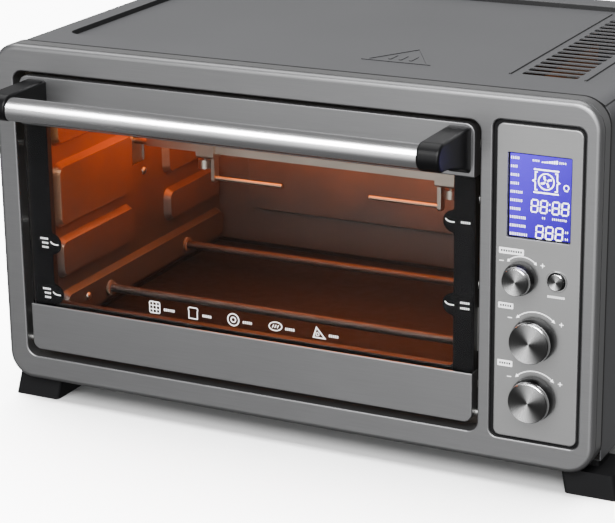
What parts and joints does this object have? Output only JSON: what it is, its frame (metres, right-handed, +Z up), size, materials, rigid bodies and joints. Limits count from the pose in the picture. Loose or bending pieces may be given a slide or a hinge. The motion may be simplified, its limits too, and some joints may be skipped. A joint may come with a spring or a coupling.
{
  "type": "toaster oven",
  "caption": "Countertop toaster oven with a drop-down glass door, bar handle, lit display, rotary knobs, a rotisserie spit and a convection fan.",
  "frame": {"origin": "centre of the footprint, on the table", "axes": "+X to the right seen from the front, +Y towards the back, +Z up; the door faces -Y"},
  "size_m": [0.497, 0.401, 0.284],
  "materials": {
    "dark_steel": "dark grey steel, brushed along the width",
    "cover_paint": "satin dark grey paint on pressed steel",
    "base_steel": "black painted steel",
    "black_plastic": "fine textured black plastic",
    "gloss_black": "glossy black moulding",
    "spun_metal": "spun face with a bright bevel",
    "handle_steel": "bright steel, brushed along its length",
    "door_glass": "clear toughened glass with black printed side bands",
    "display_lens": "clear window",
    "display": "backlit blue display with light segments",
    "cavity_steel": "aluminised pressed steel sheet, satin",
    "inner_frame": "folded steel, satin",
    "zinc_steel": "zinc plated steel",
    "heater_tube": "heat-tinted steel tube",
    "ceramic": "white unglazed ceramic",
    "spit_steel": "bright plated steel",
    "fan_metal": "stamped aluminium",
    "cooling_plastic": "off-white plastic",
    "motor_steel": "laminated and plated steel",
    "board": "glass-fibre circuit board with parts",
    "lamp_glass": "pressed glass lens",
    "lamp": "lamp in a ceramic holder",
    "probe_steel": "stainless probe"
  },
  "bodies": {
    "oven_body": {"base_plate": "base_steel", "board_controls": "board", "body_screws": "zinc_steel", "cavity_back_wall": "cavity_steel", "cavity_ceiling": "cavity_steel", "cavity_floor": "cavity_steel", "cavity_front_flange": "cavity_steel", "cavity_left_wall": "cavity_steel", "cavity_right_wall": "cavity_steel", "control_board": "board", "control_panel": "dark_steel", "convection_motor": "motor_steel", "crumb_tray": "cavity_steel", "door_springs": "zinc_steel", "fan_grille": "cavity_steel", "feet": "black_plastic", "front_bezel": "dark_steel", "heater_insulators": "ceramic", "lamp_lens": "lamp_glass", "lcd_lens": "display_lens", "lcd_module": "display", "lower_heaters": "heater_tube", "mains_gland": "black_plastic", "outer_cover": "cover_paint", "oven_lamp": "lamp", "panel_carrier": "black_plastic", "power_board": "board", "rear_panel": "cover_paint", "rear_spacers": "black_plastic", "rotisserie_motor": "motor_steel", "spit_support": "zinc_steel", "temperature_probe": "probe_steel", "upper_heaters": "heater_tube"},
    "door": {"door_glass": "door_glass", "door_upper_trim": "dark_steel", "door_lower_trim": "dark_steel", "door_inner_frame": "inner_frame", "door_hinges": "zinc_steel", "door_arms": "zinc_steel", "handle_bar": "handle_steel", "handle_bracket_left": "gloss_black", "handle_bracket_right": "gloss_black", "door_screws": "zinc_steel"},
    "function_knob": {"function_knob": "gloss_black", "function_knob_cap": "spun_metal", "function_knob_shaft": "zinc_steel"},
    "temperature_knob": {"temperature_knob": "gloss_black", "temperature_knob_cap": "spun_metal", "temperature_knob_shaft": "zinc_steel"},
    "time_knob": {"time_knob": "gloss_black", "time_knob_cap": "spun_metal", "time_knob_shaft": "zinc_steel"},
    "start_button": {"start_button": "spun_metal"},
    "fan_rotor": {"convection_fan": "fan_metal", "fan_shaft": "zinc_steel", "cooling_fan": "cooling_plastic"},
    "spit": {"spit_rod": "spit_steel", "spit_forks": "spit_steel", "fork_screws": "spit_steel", "drive_socket": "spit_steel"}
  },
  "joints": [
    {"name": "door_hinge", "type": "hinge", "parent": "oven_body", "child": "door", "pos_m": [-0.0419, -0.1365, 0.0496], "axis": [1, 0, 0], "range_deg": [0, 84], "stiffness_Nm_per_rad": 0.55, "springref_deg": -20.05, "deforming": ["door_springs"]},
    {"name": "function_turn", "type": "hinge", "parent": "oven_body", "child": "function_knob", "pos_m": [0.17775, -0.1505, 0.1575], "axis": [0, -1, 0], "continuous": true},
    {"name": "temperature_turn", "type": "hinge", "parent": "oven_body", "child": "temperature_knob", "pos_m": [0.18845, -0.1505, 0.1144], "axis": [0, -1, 0], "continuous": true},
    {"name": "time_turn", "type": "hinge", "parent": "oven_body", "child": "time_knob", "pos_m": [0.18855, -0.1505, 0.071], "axis": [0, -1, 0], "continuous": true},
    {"name": "start_press", "type": "slide", "parent": "oven_body", "child": "start_button", "axis": [0, 1, 0], "range_m": [0, 0.0015], "stiffness_N_per_m": 500},
    {"name": "fan_spin", "type": "hinge", "parent": "oven_body", "child": "fan_rotor", "pos_m": [0.15625, 0.0835, 0.152], "axis": [-1, 0, 0], "continuous": true},
    {"name": "spit_spin", "type": "hinge", "parent": "oven_body", "child": "spit", "pos_m": [-0.0419, 0.0055, 0.1755], "axis": [1, 0, 0], "continuous": true}
  ]
}
